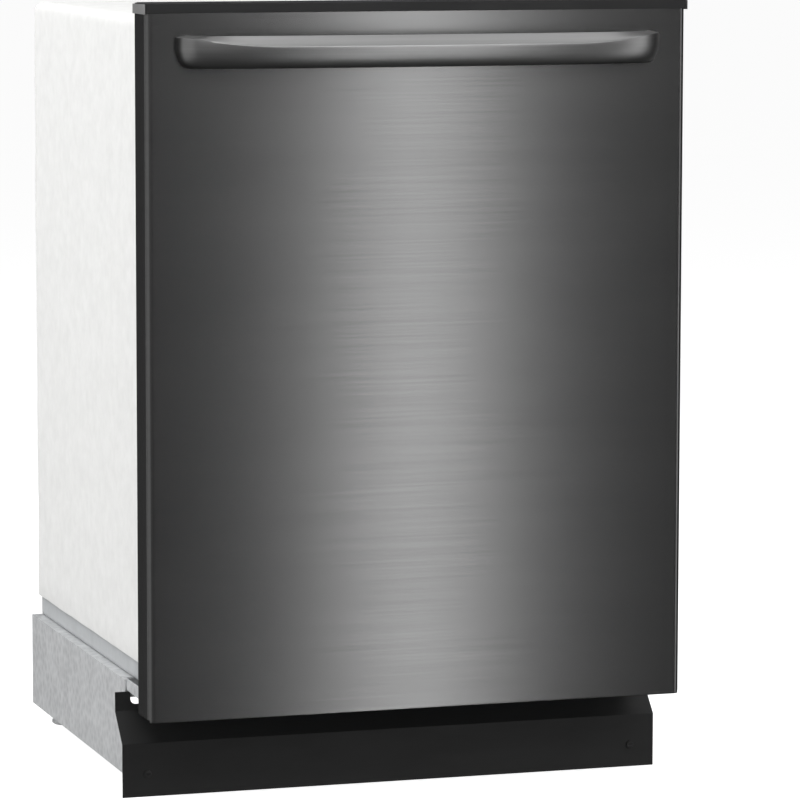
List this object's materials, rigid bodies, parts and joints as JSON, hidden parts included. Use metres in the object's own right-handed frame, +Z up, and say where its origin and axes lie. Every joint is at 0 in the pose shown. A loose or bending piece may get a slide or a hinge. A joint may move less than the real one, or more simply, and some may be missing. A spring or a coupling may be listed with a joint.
{
  "type": "built in dishwasher",
  "caption": "Built in dishwasher with a drop-down dark brushed steel door, arched bar handle, keys on the door's top edge, sliding racks, spray arms, pumps and a recessed kick plate.",
  "frame": {"origin": "on the floor under the middle of the whole box that holds the closed appliance, its handle included", "axes": "+Z up, the door faces -Y, +X to the right of someone who looks at the door"},
  "size_m": [0.614, 0.6254, 0.864],
  "materials": {
    "black_steel": "dark brushed, horizontal grain",
    "black_plastic": "satin",
    "grey_plastic": "satin",
    "tub_plastic": "moulded satin",
    "felt": "non-woven felt",
    "rubber": "matte",
    "galvanised": "zinc coated",
    "black_paint": "powder coated",
    "bright_steel": "polished",
    "rack_nylon": "coated wire",
    "dark_plastic": "moulded satin"
  },
  "bodies": {
    "cabinet": {"tub": "tub_plastic", "tub_gasket": "rubber", "insulation_blanket": "felt", "spray_feed_tube": "grey_plastic", "heating_element": "bright_steel", "sump": "dark_plastic", "wash_pump": "dark_plastic", "drain_pump": "dark_plastic", "inlet_valve": "grey_plastic", "latch_strike": "bright_steel", "mounting_bracket_right": "galvanised", "mounting_bracket_left": "galvanised", "rail_carrier_right": "grey_plastic", "rail_carrier_left": "grey_plastic", "base_frame": "galvanised", "kick_plate": "black_paint", "kick_screw_right": "black_paint", "kick_screw_left": "black_paint", "hinge_bracket_right": "galvanised", "hinge_bracket_left": "galvanised", "door_spring_right": "galvanised", "door_spring_left": "galvanised"},
    "door": {"door_panel": "black_steel", "door_liner": "grey_plastic", "console": "black_plastic", "console_end_cap_right": "grey_plastic", "console_end_cap_left": "grey_plastic", "door_handle": "black_steel", "hinge_arm_right": "galvanised", "hinge_arm_left": "galvanised", "detergent_dispenser": "dark_plastic"},
    "upper_rack": {"upper_rack": "rack_nylon", "upper_feed_pipe": "grey_plastic"},
    "dispenser_lid": {"dispenser_lid": "grey_plastic"},
    "rinse_aid_cap": {"rinse_aid_cap": "black_plastic"},
    "latch_pawl": {"latch_pawl": "dark_plastic"},
    "key_1": {"key_1": "dark_plastic"},
    "key_2": {"key_2": "dark_plastic"},
    "key_3": {"key_3": "dark_plastic"},
    "key_4": {"key_4": "dark_plastic"},
    "float_cap": {"float_cap": "grey_plastic"},
    "filter_cup": {"filter_cup": "dark_plastic"},
    "spring_rod_right": {"spring_rod_right": "galvanised"},
    "spring_rod_left": {"spring_rod_left": "galvanised"},
    "leveling_leg_front_right": {"leveling_leg_front_right": "galvanised"},
    "leveling_leg_front_left": {"leveling_leg_front_left": "galvanised"},
    "leveling_leg_rear_right": {"leveling_leg_rear_right": "galvanised"},
    "leveling_leg_rear_left": {"leveling_leg_rear_left": "galvanised"},
    "lower_rack": {"lower_rack": "rack_nylon"},
    "folding_tines": {"folding_tines": "rack_nylon"},
    "silverware_basket": {"silverware_basket": "grey_plastic"},
    "rack_wheel_front_right": {"rack_wheel_front_right": "grey_plastic"},
    "rack_wheel_front_left": {"rack_wheel_front_left": "grey_plastic"},
    "rack_wheel_rear_right": {"rack_wheel_rear_right": "grey_plastic"},
    "rack_wheel_rear_left": {"rack_wheel_rear_left": "grey_plastic"},
    "lower_spray_arm": {"lower_spray_arm": "grey_plastic"},
    "upper_rail_right": {"upper_rail_right": "bright_steel"},
    "upper_rail_left": {"upper_rail_left": "bright_steel"},
    "upper_spray_arm": {"upper_spray_arm": "grey_plastic"},
    "cup_shelf": {"cup_shelf": "rack_nylon"}
  },
  "joints": [
    {"name": "door_hinge", "type": "hinge", "parent": "cabinet", "child": "door", "pos_m": [0, -0.21705, 0.125], "axis": [1, 0, 0], "range_deg": [0, 90], "stiffness_Nm_per_rad": 24},
    {"name": "key_1_press", "type": "slide", "parent": "door", "child": "key_1", "axis": [0, 0, -1], "range_m": [0, 0.0012], "stiffness_N_per_m": 250},
    {"name": "key_2_press", "type": "slide", "parent": "door", "child": "key_2", "axis": [0, 0, -1], "range_m": [0, 0.0012], "stiffness_N_per_m": 250},
    {"name": "key_3_press", "type": "slide", "parent": "door", "child": "key_3", "axis": [0, 0, -1], "range_m": [0, 0.0012], "stiffness_N_per_m": 250},
    {"name": "key_4_press", "type": "slide", "parent": "door", "child": "key_4", "axis": [0, 0, -1], "range_m": [0, 0.0012], "stiffness_N_per_m": 250},
    {"name": "dispenser_lid_slide", "type": "slide", "parent": "door", "child": "dispenser_lid", "axis": [1, 0, 0], "range_m": [0, 0.064]},
    {"name": "rinse_aid_cap_turn", "type": "hinge", "parent": "door", "child": "rinse_aid_cap", "pos_m": [0.04, -0.20735, 0.481], "axis": [0, 1, 0], "range_deg": [0, 90]},
    {"name": "latch_pawl_pivot", "type": "hinge", "parent": "door", "child": "latch_pawl", "pos_m": [0, -0.23535, 0.838], "axis": [-1, 0, 0], "range_deg": [0, 12], "stiffness_Nm_per_rad": 1.2},
    {"name": "spring_rod_right_slide", "type": "slide", "parent": "cabinet", "child": "spring_rod_right", "axis": [0, 1, 0], "range_m": [0, 0.0257], "deforming": ["door_spring_right"]},
    {"name": "spring_rod_left_slide", "type": "slide", "parent": "cabinet", "child": "spring_rod_left", "axis": [0, 1, 0], "range_m": [0, 0.0257], "deforming": ["door_spring_left"]},
    {"name": "leveling_leg_front_right_turn", "type": "hinge", "parent": "cabinet", "child": "leveling_leg_front_right", "pos_m": [0.262, -0.11235, 0.03], "axis": [0, 0, 1], "continuous": true},
    {"name": "leveling_leg_front_left_turn", "type": "hinge", "parent": "cabinet", "child": "leveling_leg_front_left", "pos_m": [-0.262, -0.11235, 0.03], "axis": [0, 0, 1], "continuous": true},
    {"name": "leveling_leg_rear_right_turn", "type": "hinge", "parent": "cabinet", "child": "leveling_leg_rear_right", "pos_m": [0.262, 0.27765, 0.03], "axis": [0, 0, 1], "continuous": true},
    {"name": "leveling_leg_rear_left_turn", "type": "hinge", "parent": "cabinet", "child": "leveling_leg_rear_left", "pos_m": [-0.262, 0.27765, 0.03], "axis": [0, 0, 1], "continuous": true},
    {"name": "float_lift", "type": "slide", "parent": "cabinet", "child": "float_cap", "axis": [0, 0, 1], "range_m": [0, 0.006]},
    {"name": "filter_turn", "type": "hinge", "parent": "cabinet", "child": "filter_cup", "pos_m": [0, -0.06235, 0.12], "axis": [0, 0, 1], "range_deg": [0, 90]},
    {"name": "lower_spray_spin", "type": "hinge", "parent": "cabinet", "child": "lower_spray_arm", "pos_m": [0, 0.06765, 0.155], "axis": [0, 0, 1], "continuous": true},
    {"name": "lower_rack_slide", "type": "slide", "parent": "cabinet", "child": "lower_rack", "axis": [0, -1, 0], "range_m": [0, 0.45]},
    {"name": "rack_wheel_front_right_spin", "type": "hinge", "parent": "lower_rack", "child": "rack_wheel_front_right", "pos_m": [0.25, -0.07235, 0.156], "axis": [1, 0, 0], "continuous": true},
    {"name": "rack_wheel_front_left_spin", "type": "hinge", "parent": "lower_rack", "child": "rack_wheel_front_left", "pos_m": [-0.25, -0.07235, 0.156], "axis": [1, 0, 0], "continuous": true},
    {"name": "rack_wheel_rear_right_spin", "type": "hinge", "parent": "lower_rack", "child": "rack_wheel_rear_right", "pos_m": [0.25, 0.20765, 0.156], "axis": [1, 0, 0], "continuous": true},
    {"name": "rack_wheel_rear_left_spin", "type": "hinge", "parent": "lower_rack", "child": "rack_wheel_rear_left", "pos_m": [-0.25, 0.20765, 0.156], "axis": [1, 0, 0], "continuous": true},
    {"name": "folding_tines_fold", "type": "hinge", "parent": "lower_rack", "child": "folding_tines", "pos_m": [-0.0595, 0.04965, 0.1727], "axis": [0, 1, 0], "range_deg": [0, 80]},
    {"name": "silverware_basket_lift", "type": "slide", "parent": "lower_rack", "child": "silverware_basket", "axis": [0, 0, 1], "range_m": [0, 0.12]},
    {"name": "upper_rack_slide", "type": "slide", "parent": "cabinet", "child": "upper_rack", "axis": [0, -1, 0], "range_m": [0, 0.45]},
    {"name": "upper_rail_right_slide", "type": "slide", "parent": "cabinet", "child": "upper_rail_right", "axis": [0, -1, 0], "range_m": [0, 0.225]},
    {"name": "upper_rail_left_slide", "type": "slide", "parent": "cabinet", "child": "upper_rail_left", "axis": [0, -1, 0], "range_m": [0, 0.225]},
    {"name": "upper_spray_spin", "type": "hinge", "parent": "upper_rack", "child": "upper_spray_arm", "pos_m": [0, 0.04765, 0.472], "axis": [0, 0, 1], "continuous": true},
    {"name": "cup_shelf_fold", "type": "hinge", "parent": "upper_rack", "child": "cup_shelf", "pos_m": [-0.226, 0.04265, 0.584], "axis": [0, -1, 0], "range_deg": [0, 88]}
  ],
  "couplings": [
    {"joint": "upper_rack_slide", "follows": "door_hinge", "m_per_rad": 0.28647},
    {"joint": "upper_rail_right_slide", "follows": "door_hinge", "m_per_rad": 0.14324},
    {"joint": "upper_rail_left_slide", "follows": "door_hinge", "m_per_rad": 0.14324},
    {"joint": "lower_rack_slide", "follows": "door_hinge", "m_per_rad": 0.1},
    {"joint": "spring_rod_right_slide", "follows": "door_hinge", "m_per_rad": 0.0162},
    {"joint": "spring_rod_left_slide", "follows": "door_hinge", "m_per_rad": 0.0162},
    {"joint": "rack_wheel_front_right_spin", "follows": "door_hinge", "ratio": 6.25},
    {"joint": "rack_wheel_front_left_spin", "follows": "door_hinge", "ratio": 6.25},
    {"joint": "rack_wheel_rear_right_spin", "follows": "door_hinge", "ratio": 6.25},
    {"joint": "rack_wheel_rear_left_spin", "follows": "door_hinge", "ratio": 6.25}
  ]
}
